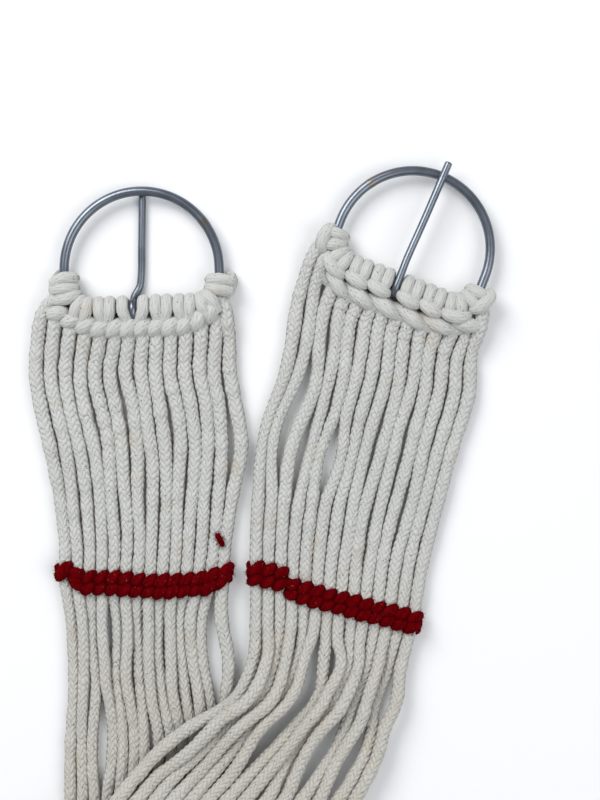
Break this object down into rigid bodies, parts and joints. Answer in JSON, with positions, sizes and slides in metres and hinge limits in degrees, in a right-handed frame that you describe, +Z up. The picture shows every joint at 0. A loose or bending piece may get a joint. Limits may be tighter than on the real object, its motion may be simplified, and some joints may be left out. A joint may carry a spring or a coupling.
{
  "type": "string cinch",
  "caption": "Western string cinch: a girth of parallel cotton cords hitched at each end to a steel dee ring with a buckle tongue, bound by twined rows, folded once.",
  "frame": {"origin": "middle of the object's footprint on the table top it lies on", "axes": "+Z up from the table; +Y along the cinch towards its two rings; +X towards end B, which shows its front"},
  "size_m": [0.2434, 0.4039, 0.03],
  "materials": {
    "cotton cord": "matte braided off-white cotton, slightly soiled",
    "red yarn": "matte dark red wool yarn, slightly fuzzy",
    "steel": "smooth polished stainless steel wire with a faint heat tint at the ring's weld"
  },
  "bodies": {
    "webbing": {"hitch_a3": "cotton cord", "hitch_a4": "cotton cord", "hitch_a5": "cotton cord", "hitch_a6": "cotton cord", "hitch_b3": "cotton cord", "hitch_b4": "cotton cord", "hitch_b5": "cotton cord", "hitch_b6": "cotton cord", "twined_row_a": "cotton cord", "twined_row_b": "cotton cord", "strand_01": "cotton cord", "strand_02": "cotton cord", "strand_03": "cotton cord", "strand_04": "cotton cord", "strand_05": "cotton cord", "strand_06": "cotton cord", "strand_07": "cotton cord", "strand_08": "cotton cord", "strand_09": "cotton cord", "strand_10": "cotton cord", "strand_11": "cotton cord", "strand_12": "cotton cord", "strand_13": "cotton cord", "strand_14": "cotton cord", "red_band_a": "red yarn", "red_band_b": "red yarn", "yarn_tail": "red yarn"},
    "ring_a": {"ring_a": "steel", "hitch_a1": "cotton cord", "hitch_a2": "cotton cord", "hitch_a7": "cotton cord", "hitch_a8": "cotton cord"},
    "ring_b": {"ring_b": "steel", "hitch_b1": "cotton cord", "hitch_b2": "cotton cord", "hitch_b7": "cotton cord", "hitch_b8": "cotton cord"},
    "tongue_a": {"tongue_a": "steel"},
    "tongue_b": {"tongue_b": "steel"}
  },
  "joints": [
    {"name": "ring_a_hinge", "type": "hinge", "parent": "webbing", "child": "ring_a", "pos_m": [-0.0622, 0.1249, 0.0069], "axis": [0.9992, 0.0401, 0], "range_deg": [-35, 35]},
    {"name": "ring_b_hinge", "type": "hinge", "parent": "webbing", "child": "ring_b", "pos_m": [0.0709, 0.137, 0.0069], "axis": [0.9323, -0.3616, 0], "range_deg": [-35, 35]},
    {"name": "tongue_a_hinge", "type": "hinge", "parent": "ring_a", "child": "tongue_a", "pos_m": [-0.0622, 0.1249, 0.0069], "axis": [0.9992, 0.0401, 0], "range_deg": [-75, 0]},
    {"name": "tongue_b_hinge", "type": "hinge", "parent": "ring_b", "child": "tongue_b", "pos_m": [0.0709, 0.137, 0.0069], "axis": [0.9323, -0.3616, 0], "range_deg": [0, 75]}
  ]
}
